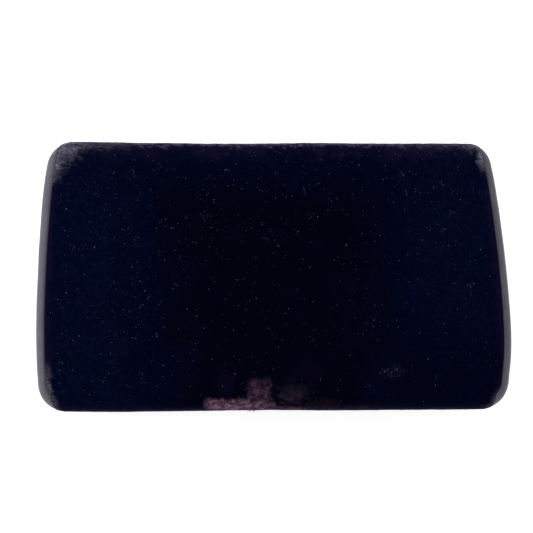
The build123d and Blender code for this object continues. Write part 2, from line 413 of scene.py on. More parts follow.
def seam_inset(x, y, nx, ny):
    """How far in from the outline a panel's upper edge lies, at each point of the path."""
    out = np.zeros_like(x)
    for corner in (BACK, FRONT):
        past = x - PANEL_GAP - corner.seam_x - corner.slant * (corner.foot_y - np.abs(y))
        slanted = past / (nx + corner.slant * np.abs(ny))
        inset = np.maximum(slanted, (x - PANEL_GAP - corner.longest) / nx)
        out = np.where(corner.side * y > 0, inset, out)
    return out


def gutter_lift(y):
    """How far a panel's lower edge stays off the parting, so that the lid can open fully."""
    return np.clip((y - GUTTER_START) * tan(GUTTER_ANGLE), 0, GUTTER_RIM)


def end_panel(half, hand, word):
    """A smooth panel drawn over one end, its shoulder and what the velvet leaves of its corners."""
    shoulder, away = half.shoulder, half.away
    x, y, nx, ny = end_path()
    start = seam_inset(x, y, nx, ny).clip(0.04, min(SEAM_INSET - PANEL_GAP, shoulder))
    start = np.arccos(1 - start / shoulder)
    arc_run = shoulder * start
    full_wall = abs(half.flat_z - away * shoulder - half.rim_z)
    wall = full_wall - gutter_lift(y)
    # rows from the seam over the shoulder, then down the wall, recessed as one surface
    over = np.linspace(0, 1, 9)[:-1, None]
    down = np.sort(1 - graded(full_wall, PANEL_STEP, PANEL_ROLL) / full_wall)[:, None]
    turn = start * (1 - over)
    inset = PANEL_RECESS + np.concatenate([shoulder * (1 - np.cos(turn)), 0 * down * wall])
    drop = np.concatenate([shoulder * (1 - np.sin(turn)), shoulder + down * (wall - PANEL_RECESS)])
    edge = np.concatenate([arc_run * over, np.minimum(arc_run + down * wall, (1 - down) * wall)])
    z = half.flat_z - away * (PANEL_RECESS + drop)
    grid = np.stack([x - nx * inset, y - ny * inset, z], axis=-1)
    normal = grid_normals(grid) * away
    ripple = noise_field(grid, 7.0, half.panel_seed + hand, 2) * 0.03 * smoothstep(0, 1.5, edge)
    outer = grid + normal * (ripple - edge_roll(edge, PANEL_ROLL))[..., None]
    outer = hand_fitted(outer * [hand, 1, 1])
    inner = (grid - normal * PANEL_THICKNESS) * [hand, 1, 1]
    # painted shade: the left panels are darker along their seam, the right ones darker round their
    # shoulder, fading down the wall
    from_seam = run_along(grid, 0)
    if hand < 0:
        shade = 0.45 * (1 - smoothstep(0.05, 1.0, from_seam))
    else:
        shade = smoothstep(0.3, 1.8, from_seam) * (1 - 0.8 * smoothstep(4.0, 8.5, from_seam))
    verts, faces = closed_sheet(outer, inner)
    obj = make_object(f"{half.body}_{word}_leathercloth", verts, faces, half.body)
    fix_facing(obj)
    float_attribute(obj, "painted_shade", np.tile(shade.ravel(), 2))
    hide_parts(f"{half.body}_{word}_end_panel")
    return obj


def fix_facing(obj):
    """Turns a closed mesh's faces outward if its volume comes out negative."""
    solid = bmesh.new()
    solid.from_mesh(obj.data)
    if solid.calc_volume(signed=True) < 0:
        obj.data.flip_normals()
    solid.free()


# ---- materials

class Shader:
    """A Principled material and short ways to add and join nodes."""

    def __init__(self, name, **sockets):
        self.material = bpy.data.materials.new(name)
        self.material.use_nodes = True
        self.tree = self.material.node_tree
        self.bsdf = self.tree.nodes["Principled BSDF"]
        for key, value in sockets.items():
            self.feed(self.bsdf.inputs[key.replace("_", " ")], value)

    def feed(self, socket, value):
        """Gives a socket a number, a vector, a colour or another socket's value."""
        if isinstance(value, bpy.types.NodeSocket):
            self.tree.links.new(value, socket)
        else:
            socket.default_value = (*value, 1) if socket.type == "RGBA" else value

    def add(self, kind, inputs, **settings):
        """A new node with its settings, and its inputs by name or place."""
        made = self.tree.nodes.new("ShaderNode" + kind)
        for key, value in settings.items():
            setattr(made, key, value)
        for key, value in inputs.items():
            self.feed(made.inputs[key], value)
        return made.outputs

    def place(self, scale=(1, 1, 1), turn=(0, 0, 0)):
        """Position on the object in millimetres, stretched and turned."""
        return self.add("Mapping", {
            "Vector": self.add("TexCoord", {})["Object"],
            "Scale": [s / MM for s in scale],
            "Rotation": turn,
        })["Vector"]

    def noise(self, size, detail=2.0, roughness=0.5, scale=(1, 1, 1), turn=(0, 0, 0), distortion=0.0):
        return self.add("TexNoise", {
            "Vector": self.place(scale, turn),
            "Scale": 1 / size,
            "Detail": detail,
            "Roughness": roughness,
            "Distortion": distortion,
        })["Fac"]

    def attribute(self, name):
        return self.add("Attribute", {}, attribute_name=name)["Fac"]

    def ramp(self, source, low, high, from_value=0.0, to_value=1.0):
        """A smooth step of a value between two levels."""
        limits = {"From Min": low, "From Max": high, "To Min": from_value, "To Max": to_value}
        return self.add("MapRange", {"Value": source, **limits}, interpolation_type="SMOOTHSTEP")["Result"]

    def math(self, operation, a, b):
        return self.add("Math", {0: a, 1: b}, operation=operation)[0]

    def weigh(self, a, share_a, b, share_b):
        """The sum of two values, each taken at its share."""
        return self.math("ADD", self.math("MULTIPLY", a, share_a), self.math("MULTIPLY", b, share_b))

    def mix(self, share, a, b, blend="MIX"):
        """A colour between two colours, or another blend of them."""
        return self.add("Mix", {"Factor": share, 6: a, 7: b}, data_type="RGBA", blend_type=blend)[2]

    def colour(self, source):
        self.feed(self.bsdf.inputs["Base Color"], source)

    def roughness(self, source):
        self.feed(self.bsdf.inputs["Roughness"], source)

    def bump(self, source, depth, after=None):
        """Bump of a depth in millimetres, on top of an earlier one."""
        below = {} if after is None else {"Normal": after}
        made = self.add("Bump", {"Height": source, "Distance": depth * MM, "Strength": 1.0, **below})
        self.feed(self.bsdf.inputs["Normal"], made["Normal"])
        return made["Normal"]


def dress(obj, shader):
    """Gives an object one material all over."""
    obj.data.materials.clear()
    obj.data.materials.append(shader.material)


def velvet_material():
    s = Shader("velvet_pile", Roughness=1.0, Specular_IOR_Level=0.0, Sheen_Weight=0.10,
               Sheen_Roughness=0.36, Sheen_Tint=(0.60, 0.52, 0.90))
    pile = s.noise(0.28, 3, 0.65)
    nap = s.noise(5.0, 4, 0.6, scale=(0.5, 1.0, 1.0), turn=(0, 0, 0.35), distortion=0.6)
    mottle = s.noise(1.25, 6, 0.78, scale=(0.8, 1.0, 1.0), distortion=0.25)
    grain = s.noise(0.95, 4, 0.7)
    streaks = s.noise(0.55, 4, 0.7, scale=(0.28, 1.3, 1.0), turn=(0, 0, 0.12), distortion=0.8)
    base = s.mix(s.attribute("side_bloom"), (0.0003, 0.0002, 0.0038), (0.0002, 0.0015, 0.0105))
    base = s.mix(s.ramp(nap, 0.50, 0.75, 0.0, 0.25), base, (0.0020, 0.0010, 0.0110))
    base = s.mix(s.ramp(pile, 0.35, 0.75, 0.0, 0.16), base, (0.0045, 0.0045, 0.0150))
    blooming = s.math("MULTIPLY", s.attribute("side_bloom"), s.ramp(grain, 0.44, 0.66, 0.0, 0.55))
    base = s.mix(blooming, base, (0.0022, 0.0042, 0.0190))
    # lighter purple: painted sheen along the seams and back shoulder, with casts in the velvet's own tone
    base = s.mix(s.attribute("seam_sheen_and_tint"), base, (0.0058, 0.0039, 0.0170))
    combed = s.ramp(s.weigh(streaks, 0.62, pile, 0.38), 0.36, 0.66, 0.10, 1.0)
    # pale pile: brushed nap and, along the borders, painted sheen
    pale = s.math("MULTIPLY", s.attribute("pale_nap_and_sheen"), combed)
    base = s.mix(pale, base, (0.215, 0.192, 0.255))
    worn = s.ramp(s.weigh(mottle, 0.7, pile, 0.3), 0.36, 0.62, 0.35, 1.0)
    rub = s.math("MULTIPLY", s.attribute("rubbed"), worn)
    backing = s.mix(s.ramp(mottle, 0.40, 0.64), (0.068, 0.026, 0.068), (0.204, 0.122, 0.160))
    base = s.mix(rub, base, backing)
    # painted shade along the fold in the velvet
    base = s.mix(s.attribute("crease_shade"), base, (0.0006, 0.0004, 0.0030))
    s.colour(base)
    first = s.bump(pile, 0.05)
    s.bump(streaks, 0.10, first)
    return s


def panel_material():
    s = Shader("leathercloth", Specular_IOR_Level=0.22, Sheen_Weight=0.08, Sheen_Roughness=0.5,
               Sheen_Tint=(0.8, 0.78, 0.9))
    grain = s.add("TexVoronoi", {"Vector": s.place(), "Scale": 1 / 0.42}, feature="DISTANCE_TO_EDGE")
    cells = s.ramp(grain["Distance"], 0.0, 0.22)
    broad = s.noise(3.2, 4, 0.6)
    scuff = s.noise(0.9, 5, 0.7, scale=(1, 0.3, 1))
    tone = s.mix(s.ramp(broad, 0.35, 0.7), (0.067, 0.062, 0.082), (0.092, 0.085, 0.110))
    tone = s.mix(s.ramp(scuff, 0.62, 0.80, 0.0, 0.5), tone, (0.150, 0.142, 0.168))
    tone = s.mix(s.ramp(cells, 0.0, 1.0, 0.30, 0.0), tone, (0.030, 0.027, 0.038))
    # painted shade from the panels' attribute darkens the tone
    tone = s.mix(s.math("MULTIPLY", s.attribute("painted_shade"), 0.66), tone, (0.022, 0.020, 0.030))
    s.colour(tone)
    s.roughness(s.ramp(broad, 0.3, 0.7, 0.40, 0.56))
    first = s.bump(cells, 0.018)
    s.bump(scuff, 0.02, first)
    return s


def shell_material():
    s = Shader("shell_plastic", Specular_IOR_Level=0.35)
    fine = s.noise(0.16, 2, 0.5)
    broad = s.noise(6.0, 3, 0.5)
    s.colour(s.mix(s.ramp(broad, 0.3, 0.7), (0.010, 0.010, 0.014), (0.018, 0.018, 0.024)))
    s.roughness(s.ramp(broad, 0.3, 0.7, 0.5, 0.66))
    s.bump(fine, 0.02)
    return s


def weave_material(name, dark, light, thread):
    """Plain woven cloth: two crossing sets of threads."""
    s = Shader(name, Specular_IOR_Level=0.15, Sheen_Weight=0.2, Sheen_Roughness=0.4, Roughness=0.85)
    wave = {"Scale": 1 / thread / 3, "Distortion": 0.6, "Detail": 1.0}
    places = [s.place(turn=(0, 0, turn)) for turn in (0, pi / 2)]
    warp, weft = (s.add("TexWave", {"Vector": place, **wave})["Fac"] for place in places)
    height = s.math("MAXIMUM", warp, weft)
    broad = s.noise(4.0, 3, 0.6)
    s.colour(s.mix(s.math("MULTIPLY", height, s.ramp(broad, 0.2, 0.8, 0.5, 1.0)), dark, light))
    s.bump(height, 0.04)
    return s


def flock_material(name, dark, light, size, sheen=0.25):
    s = Shader(name, Specular_IOR_Level=0.0, Roughness=1.0, Sheen_Weight=sheen, Sheen_Roughness=0.4,
               Sheen_Tint=(0.6, 0.58, 0.85))
    tips = s.noise(size, 4, 0.75)
    broad = s.noise(5.0, 4, 0.6)
    s.colour(s.mix(s.ramp(s.weigh(tips, 0.65, broad, 0.35), 0.35, 0.65), dark, light))
    s.bump(tips, 0.09)
    return s


def wood_material():
    s = Shader("beech", Specular_IOR_Level=0.4)
    wave = {"Scale": 0.16, "Distortion": 3.2, "Detail": 3.0, "Detail Scale": 0.4}
    rings = s.add("TexWave", {"Vector": s.place(scale=(0.12, 1, 1)), **wave},
                  bands_direction="Y", wave_profile="SAW")["Fac"]
    pores = s.noise(0.35, 3, 0.6, scale=(0.06, 1, 1))
    tone = s.mix(rings, (0.40, 0.255, 0.130), (0.60, 0.425, 0.240))
    tone = s.mix(s.ramp(pores, 0.56, 0.72, 0.0, 0.75), tone, (0.170, 0.080, 0.032))
    s.colour(tone)
    s.roughness(s.ramp(pores, 0.3, 0.7, 0.38, 0.55))
    s.bump(s.math("SUBTRACT", rings, pores), 0.035)
    return s


def rosin_material():
    s = Shader("amber_rosin", IOR=1.54, Specular_IOR_Level=0.5, Coat_Weight=0.2, Coat_Roughness=0.12,
               Subsurface_Weight=0.8, Subsurface_Scale=0.006, Subsurface_Radius=(1.0, 0.30, 0.04))
    clouds = s.noise(11.0, 3, 0.5, distortion=0.6)
    bubbles = s.noise(0.42, 2, 0.5)
    powder = s.noise(0.30, 5, 0.8, scale=(0.45, 1, 1))
    tone = s.mix(s.ramp(clouds, 0.32, 0.68), (0.340, 0.062, 0.002), (0.600, 0.170, 0.008))
    tone = s.mix(s.ramp(bubbles, 0.70, 0.80, 0.0, 0.4), tone, (0.75, 0.34, 0.06))
    dust = s.math("MULTIPLY", s.attribute("rosin_dust"), s.ramp(powder, 0.36, 0.66, 0.15, 1.0))
    tone = s.mix(dust, tone, (0.86, 0.78, 0.62))
    s.colour(tone)
    s.roughness(s.math("ADD", s.math("MULTIPLY", dust, 0.7), s.ramp(clouds, 0.3, 0.7, 0.05, 0.10)))
    s.bump(powder, 0.006)
    return s


def metal_material(name, light, dark, roughness, brushed=(1, 1, 1)):
    s = Shader(name, Metallic=1.0)
    tarnish = s.noise(1.6, 4, 0.6)
    lines = s.noise(0.12, 3, 0.6, scale=brushed)
    s.colour(s.mix(s.ramp(tarnish, 0.42, 0.68), light, dark))
    dull = s.ramp(tarnish, 0.3, 0.7, roughness, roughness + 0.18)
    s.roughness(s.math("ADD", dull, s.math("MULTIPLY", lines, 0.08)))
    s.bump(lines, 0.008)
    return s


def satin_material():
    s = Shader("navy_satin", Specular_IOR_Level=0.6, Anisotropic=0.6, Sheen_Weight=0.12,
               Sheen_Roughness=0.3, Sheen_Tint=(0.75, 0.78, 1.0))
    threads = s.noise(0.10, 2, 0.6, scale=(0.12, 1, 1))
    broad = s.noise(6.0, 3, 0.5)
    s.colour(s.mix(s.ramp(broad, 0.3, 0.7), (0.016, 0.019, 0.062), (0.026, 0.031, 0.092)))
    s.roughness(s.ramp(threads, 0.3, 0.7, 0.26, 0.42))
    s.bump(threads, 0.012)
    return s


def card_material():
    s = Shader("blue_board", Specular_IOR_Level=0.1, Roughness=0.95)
    fibres = s.noise(0.5, 5, 0.7, scale=(0.3, 1, 1))
    s.colour(s.mix(fibres, (0.014, 0.016, 0.040), (0.034, 0.038, 0.078)))
    s.bump(fibres, 0.03)
    return s


def lint_material():
    s = Shader("lint", Specular_IOR_Level=0.1, Roughness=0.9)
    dusty = s.mix(s.noise(0.3, 2, 0.5), (0.75, 0.75, 0.95), (1.0, 0.97, 1.0))
    shade = s.mix(s.attribute("lint_tone"), (0.026, 0.030, 0.062), (0.200, 0.198, 0.290))
    s.colour(s.mix(1.0, shade, dusty, "MULTIPLY"))
    return s


def pulled_material():
    s = Shader("pulled_pile", Roughness=0.95, Specular_IOR_Level=0.0, Sheen_Weight=0.2, Sheen_Roughness=0.4)
    s.colour(s.mix(s.noise(0.5, 2, 0.5), (0.06, 0.045, 0.075), (0.16, 0.10, 0.13)))
    return s


# ---- wear, tone, painted sheen and painted crease shade on the velvet

THUMB_SMEARS = (            # x, y, half sizes, strength
    (-11.0, -26.1, 3.2, 1.5, 1.0), (-6.6, -26.3, 4.0, 1.4, 0.95), (-3.0, -26.7, 3.4, 1.5, 0.70),
    (3.2, -24.6, 2.8, 1.6, 0.08), (3.2, -27.0, 4.5, 0.7, 0.30), (13.5, -26.8, 9.0, 0.9, 0.05),
    (9.5, -26.2, 4.2, 1.5, 0.045))
PURPLE_CASTS = ((6.9, -19.4, 5.0, 2.4, 0.22), (-10.2, -22.0, 2.2, 2.6, 0.30))
# ends of a fold in the velvet, whose shade is painted as a dark line
CREASE = ((-0.6, -24.2), (4.6, -26.4))
SCUFF = (24.0, -19.7)       # where a knot of pale bits clings to a light scuff


def spot(x, y, centre_x, centre_y, half_x, half_y):
    """Distance from a spot's middle, 1 at its rim."""
    return np.hypot((x - centre_x) / half_x, (y - centre_y) / half_y)


def wear_masks(obj, points, worn):
    """Where the pile is brushed pale, rubbed or tinted, where sheen is painted along its rim and where a
    crease's shade is painted; worn is 1 on the lid and 0 on the base.
    """
    flat = points.reshape(-1, 3)
    x, y, z = flat.T
    blotch = noise_field(flat, 6.0, 41, 3)
    patchy = noise_field(flat, 2.6, 43, 3)
    jagged = noise_field(flat, 0.9, 44, 3)
    edge = np.minimum(edge_distance(x, y), HALF_WIDTH - np.abs(y))
    to_seam = seam_run(points).ravel()
    rim = np.minimum(edge, to_seam)
    below_top = np.minimum(TOP_Z - z, z + 8)
    on_wall = smoothstep(1.6, 5.5, below_top)
    sides = smoothstep(12, 36, np.abs(x) + 5 * blotch)
    bloom = np.maximum(sides, 0.75 * smoothstep(12, 25, y + 3 * blotch))
    bloom = bloom * (1 - 0.6 * smoothstep(15, 30, x) * smoothstep(6, 20, -y + 3 * blotch))
    # painted sheen: lighter purple along the end seams and, below, along the back shoulder where the velvet
    # turns over; the purple casts after them are the velvet's own tone
    seam_sheen_and_tint = 0.65 * (1 - smoothstep(0.2, 1.7, to_seam + 0.8 * patchy))
    fringe = 0.25 + 0.55 * smoothstep(-0.25, 0.35, blotch)
    seam_sheen_and_tint = np.maximum(seam_sheen_and_tint, fringe * smoothstep(22.3, 25.6, y + 1.3 * patchy))
    for *place, strength in PURPLE_CASTS:
        cast = 1 - smoothstep(0.3, 1.2, spot(x, y, *place) + 0.4 * patchy)
        seam_sheen_and_tint = np.maximum(seam_sheen_and_tint, strength * cast)
    corner_depth = BACK.radius + (BACK.x + BACK.y + x - y) / sqrt(2)
    # pale pile: brushed wear at scuffs and the back-left corner, and along the borders brushed pile with
    # painted sheen
    pale = np.maximum.reduce([
        0.02 * (1 - smoothstep(0.4, 1.2, spot(x, y, *SCUFF, 2.4, 1.5) + 0.8 * patchy)),
        0.045 * (1 - smoothstep(0.2, 1.5, spot(x, y, 3.8, -23.7, 3.3, 2.2) + 0.5 * jagged)),
        0.72 * (1 - smoothstep(1.4, 5.6, corner_depth + 1.4 * jagged)),
        *(where * strength * (1 - smoothstep(0.25 * depth, depth, rim + 0.9 * jagged))
          for where, depth, strength in pale_nap_and_sheen_borders(x, y)),
    ])
    low = 1 - smoothstep(0.5, 2.4, z + jagged)
    corner_scuff = low * (1 - smoothstep(0.4, 1.8, edge + 0.5 * jagged))
    masks = {
        "side_bloom": bloom,
        "seam_sheen_and_tint": seam_sheen_and_tint,
        "pale_nap_and_sheen": worn * pale * (1 - 0.8 * on_wall) + (1 - worn) * 0.10 * corner_scuff,
        "rubbed": worn * rub_mask(x, y, patchy, jagged) * (1 - on_wall),
        "crease_shade": worn * line_mask(x, y, *CREASE, 0.24),
    }
    for name, values in masks.items():
        float_attribute(obj, name, np.tile(values, 2))


def pale_nap_and_sheen_borders(x, y):
    """Stretches of the velvet's border painted pale, partly brushed pile and partly painted sheen where the
    velvet turns over: where, how deep and how strongly.
    """
    back = smoothstep(20.0, 24.0, y)
    front = smoothstep(22.0, 25.5, -y)
    return (
        (back, 0.9, 0.40),
        (smoothstep(36.0, 42.5, -x) * smoothstep(18.0, 23.0, y), 2.6, 0.85),
        (smoothstep(24.0, 36.0, -x) * back, 2.2, 0.30),
        (smoothstep(38.6, 41.8, x) * smoothstep(20.3, 23.0, y), 2.1, 0.85),
        (smoothstep(26.0, 38.0, x) * back, 2.2, 0.10),
        (smoothstep(42.5, 44.5, -x) * smoothstep(16.5, 21.0, -y), 1.5, 0.42),
        (smoothstep(41.0, 44.0, x) * front, 1.3, 0.16),
    )


def line_mask(x, y, start, end, width):
    """1 on a short straight line in plan, falling to 0 at its width."""
    along = np.array(end) - np.array(start)
    t = np.clip(((x - start[0]) * along[0] + (y - start[1]) * along[1]) / (along @ along), 0, 1)
    gap = np.hypot(x - start[0] - t * along[0], y - start[1] - t * along[1])
    return 1 - smoothstep(0.4 * width, width, gap)


def rub_mask(x, y, patchy, jagged):
    """The patch that thumbs have rubbed at the front, in overlapping smears."""
    out = np.zeros_like(x)
    for *place, strength in THUMB_SMEARS:
        reach = spot(x, y, *place) + 0.22 * jagged + 0.2 * patchy
        out = np.maximum(out, strength * (1 - smoothstep(0.55, 1.15, reach)))
    # a squarer patch beside them, worn less and with softer borders
    side = np.abs(x + 3.0 + 0.35 * patchy) / 2.75
    front = np.maximum(y + 22.4 + 0.5 * patchy, 0) / 2.4
    block = 0.28 * (1 - smoothstep(0.64, 1.08, side + 0.12 * jagged))
    block *= 1 - smoothstep(0.0, 1.0, front + 0.15 * jagged)
    return np.maximum(out, block * smoothstep(20.0, 21.5, -y))


velvet = velvet_material()
leathercloth = panel_material()
covers = [velvet_cover(half) for half in (LID, BASE)]
for hand, word in ((-1, "left"), (1, "right")):
    for half in (LID, BASE):
        dress(end_panel(half, hand, word), leathercloth)
for (cover, cover_points), worn in zip(covers, (1, 0)):
    dress(cover, velvet)
    wear_masks(cover, cover_points, worn)

# ---- inside the case

LINING_LOW, LINING_HIGH = box_mm("lid_wall_lining")
WALL = HALF_WIDTH - LINING_HIGH[1]
FRONT_RAIL = LINING_LOW[1] + HALF_WIDTH - WALL
CORNER_FOLLOW = 0.9         # how much a corner's radius shrinks with the inset
CAKE_LOW, CAKE_HIGH = box_mm("rosin_cake")
CAKE_Y = (CAKE_LOW[1] + CAKE_HIGH[1]) / 2


def even_copy(name, node, voxel):
    """A copy of a CAD node that a modifier gives fine even faces."""
    mesh = nodes[node].data.copy()
    welded = bmesh.new()
    welded.from_mesh(mesh)
    bmesh.ops.remove_doubles(welded, verts=welded.verts, dist=1e-6)
    welded.to_mesh(mesh)
    welded.free()
    obj = bpy.data.objects.new(name, mesh)
    scene.collection.objects.link(obj)
    remesh = obj.modifiers.new("even", "REMESH")
    remesh.mode = "VOXEL"
    remesh.voxel_size = voxel * MM
    return obj


def stand_for(obj, node):
    """Puts a finished copy in its CAD node's place, on the same body."""
    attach(obj, nodes[node]["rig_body"])
    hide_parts(node)


def worn_copy(name, node, voxel, relief):
    """An even copy of a CAD node with softened edges, moved out by relief(points, normals)."""
    obj = even_copy(name, node, voxel)
    soften = obj.modifiers.new("soften", "SMOOTH")
    soften.factor = 0.5
    soften.iterations = 3
    bake_modifiers(obj)
    points, normals = points_and_normals(obj)
    set_points(obj, points + normals * relief(points, normals)[:, None])
    obj.data.shade_smooth()
    stand_for(obj, node)
    return obj


def bake_modifiers(obj):
    """Makes a piece's modifiers its own mesh."""
    evaluated = obj.evaluated_get(bpy.context.evaluated_depsgraph_get())
    mesh = bpy.data.meshes.new_from_object(evaluated)
    obj.modifiers.clear()
    obj.data = mesh
    obj.data.materials.clear()


def points_and_normals(obj):
    """A piece's points in millimetres and their normals."""
    points = np.zeros(len(obj.data.vertices) * 3)
    normals = np.zeros_like(points)
    obj.data.vertices.foreach_get("co", points)
    obj.data.vertices.foreach_get("normal", normals)
    return points.reshape(-1, 3) / MM, normals.reshape(-1, 3)


def set_points(obj, points):
    obj.data.vertices.foreach_set("co", (points * MM).ravel())
    obj.data.update()


def rosin_relief(points, normals):
    """Bowing scratches along the groove, chipped upper edges and a slightly uneven cast surface."""
    x, y, z = points.T
    off_middle = np.abs(y - CAKE_Y)
    lanes = np.stack([x * 0.04, y, z], axis=-1)
    scratches = noise_field(lanes, 0.9, 61) * 0.012 * smoothstep(0.5, 0.9, normals[:, 2])
    scratches = scratches * (1 - smoothstep(5, 9, off_middle))
    rim = smoothstep(0.72, 0.98, (z - CAKE_LOW[2]) / (CAKE_HIGH[2] - CAKE_LOW[2]))
    outer = np.clip(smoothstep(8.2, 9.6, off_middle) + smoothstep(29.6, 31.0, np.abs(x)), 0, 1)
    chips = smoothstep(0.30, 0.62, noise_field(points, 1.5, 62, 3)) * 0.5 * rim * outer
    return noise_field(points, 5.0, 63, 2) * 0.04 + scratches - chips


def rosin_dust(points, normals):
    """Where powder lies: mostly along the bow's track, and a little over the rest of the top."""
    off_middle = np.abs(points[:, 1] - CAKE_Y) + 1.5 * noise_field(points, 3.0, 64, 2)
    track = 1 - smoothstep(4.0, 9.5, off_middle)
    return np.clip(smoothstep(0.3, 0.9, normals[:, 2]) * (0.03 + 0.36 * track), 0, 1)


def wood_relief(points, normals):
    return noise_field(points * [0.15, 1, 1], 1.2, 66, 2) * 0.035


def felt_relief(points, normals):
    return noise_field(points, 0.9, 67, 2) * 0.09 + noise_field(points, 7.0, 68) * 0.06


rosin = worn_copy("rosin_bar", "rosin_cake", 0.34, rosin_relief)
float_attribute(rosin, "rosin_dust", rosin_dust(*points_and_normals(rosin)))
dress(rosin, rosin_material())
holder = worn_copy("wooden_channel", "rosin_holder", 0.42, wood_relief)
dress(holder, wood_material())
felt = worn_copy("felt_bed", "cradle_felt", 0.4, felt_relief)
dress(felt, flock_material("wool_felt", (0.020, 0.024, 0.060), (0.060, 0.066, 0.125), 0.5, 0.15))

# ---- satin in the lid

SATIN_STEP = 0.45
SATIN_FRONT, SATIN_BACK = 0.42, 0.05        # its two faces, from the wall
WINDOW_Z = box_mm("hinge_lid_leaf")[1][2] + 0.4
WINDOW_X = box_mm("hinge_lid_leaf")[1][0] + 0.45


def inner_path(inset, step):
    """The lid's inside outline, once round: points, outward normals and its whole length."""
    back_y, front_y = HALF_WIDTH - inset, inset + FRONT_RAIL - HALF_WIDTH
    ends = []
    for side, wall_y, full in ((1, back_y, BACK.radius), (-1, front_y, FRONT.radius)):
        radius = full - inset * CORNER_FOLLOW
        y = wall_y - side * radius
        x = end_x(y, inset + radius)
        ends.append((x, y, radius, atan2(y - END_CENTRE_Y, x - END_CENTRE_X)))
    (*back, back_end), (*front, front_end) = ends
    half = np.concatenate([
        np.linspace((0, back_y, pi / 2), (back[0], back_y, pi / 2), 100)[:-1],
        arc(*back, pi / 2, back_end, 30)[:-1],
        arc(END_CENTRE_X, END_CENTRE_Y, END_RADIUS - inset, back_end, front_end, 80)[:-1],
        arc(*front, front_end, -pi / 2, 30)[:-1],
        np.linspace((front[0], front_y, -pi / 2), (0, front_y, -pi / 2), 100),
    ])
    mirrored = half[::-1][1:-1] * [-1, 1, -1] + [0, 0, pi]
    whole = np.concatenate([half, mirrored, half[:1]])
    whole[:, 2] = np.unwrap(whole[:, 2])
    run = path_run(whole)
    stops = np.linspace(0, run[-1], int(run[-1] / step) + 1)[:-1]
    x, y, angle = (np.interp(stops, run, values) for values in whole.T)
    return x, y, np.cos(angle), np.sin(angle), run[-1]


def wall_satin():
    """Satin glued round the lid's walls and turned under, which lifts a little between glue spots."""
    low, high = LINING_LOW[2], LINING_HIGH[2]
    x, y, nx, ny, run = inner_path(WALL, SATIN_STEP)
    levels = graded(high - low, SATIN_STEP, 0.25)
    bottom = np.where((np.abs(x) < WINDOW_X) & (y > 0), WINDOW_Z, low)
    z = bottom + (high - bottom) * (levels / levels[-1])[:, None]
    faces_at = [np.stack(np.broadcast_arrays(x - nx * depth, y - ny * depth, z), axis=-1)
                for depth in (SATIN_FRONT, SATIN_BACK)]
    inside = faces_at[0]
    around = np.arange(len(x)) * SATIN_STEP
    turn = around / run * 2 * pi
    lanes = np.stack([np.cos(turn) * run / 6.3, np.sin(turn) * run / 6.3, around * 0], axis=-1)
    folds = noise_field(lanes + inside * [0, 0, 0.12], 2.6, 71, 2)
    edge = np.minimum(levels, levels[-1] - levels)
    puff = smoothstep(0, 0.6, edge)[:, None] * (0.06 + 0.10 * folds)
    inside -= np.stack([nx * puff, ny * puff, 0 * puff], axis=-1)
    rows, columns = inside.shape[:2]
    count, last = rows * columns, (rows - 1) * columns
    a = np.arange(last)
    b = a // columns * columns + (a + 1) % columns
    j = np.arange(columns)
    k = (j + 1) % columns
    faces = np.concatenate([
        np.stack([a, b, b + columns, a + columns], axis=-1),
        np.stack([a, a + columns, b + columns, b], axis=-1) + count,
        np.stack([j, count + j, count + k, k], axis=-1),
        np.stack([last + j, last + k, count + last + k, count + last + j], axis=-1),
    ])
    verts = np.concatenate(faces_at).reshape(-1, 3)
    obj = make_object("lid_wall_satin", verts, faces, "lid")
    fix_facing(obj)
    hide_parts("lid_wall_lining")
    return obj


satin = satin_material()
dress(wall_satin(), satin)

SIM_SCALE = 10              # the cloth solver works on a pad ten times as large
SIM_FRAMES = 20
PAD_TRAVEL = 1.15           # the furthest that any point may move
PAD_START = 0.75            # share of its thickness that the pad starts from
GLUED_DEPTH = 0.45          # the back of the pad, which the glue holds


def satin_pad():
    """The lid's pad, blown up by a cloth simulation against its glued back."""
    (_, _, low), (_, _, high) = box_mm("lid_pad")
    obj = even_copy("lid_cushion", "lid_pad", 0.8)
    bake_modifiers(obj)
    start = points_and_normals(obj)[0]
    start[:, 2] = high + (start[:, 2] - high) * PAD_START
    start = puff_up(obj, start, start[:, 2] > high - GLUED_DEPTH)
    set_points(obj, start)
    obj.data.shade_smooth()
    obj.modifiers.new("finer", "SUBSURF").levels = 1
    bake_modifiers(obj)
    points, normals = points_and_normals(obj)
    free = 1 - smoothstep(high - 0.9, high - 0.3, points[:, 2])
    points += normals * (noise_field(points, 3.4, 74, 3) * 0.10 * free)[:, None]
    points[:, 2] = np.clip(points[:, 2], low - 0.3, high)
    set_points(obj, points)
    stand_for(obj, "lid_pad")
    return obj


def puff_up(obj, start, glued):
    """Runs the cloth solver on a large copy and returns the pad's points, their travel capped."""
    set_points(obj, start * SIM_SCALE)
    group = obj.vertex_groups.new(name="glued")
    group.add(np.flatnonzero(glued).tolist(), 1.0, "REPLACE")
    cloth = obj.modifiers.new("puff", "CLOTH")
    cloth.settings.use_pressure = True
    cloth.settings.uniform_pressure_force = 4.0
    cloth.settings.shrink_min = -0.045
    cloth.settings.bending_stiffness = 0.35
    cloth.settings.vertex_group_mass = "glued"
    cloth.settings.effector_weights.gravity = 0
    cloth.collision_settings.use_collision = False
    cloth.point_cache.frame_start = 1
    cloth.point_cache.frame_end = SIM_FRAMES
    for frame_number in range(1, SIM_FRAMES + 1):
        scene.frame_set(frame_number)
    bake_modifiers(obj)
    scene.frame_set(1)
    travel = points_and_normals(obj)[0] / SIM_SCALE - start
    size = np.linalg.norm(travel, axis=1, keepdims=True)
    return start + travel * np.minimum(1, PAD_TRAVEL / np.maximum(size, 1e-9))


dress(satin_pad(), satin)

# ---- CAD nodes that keep their mesh

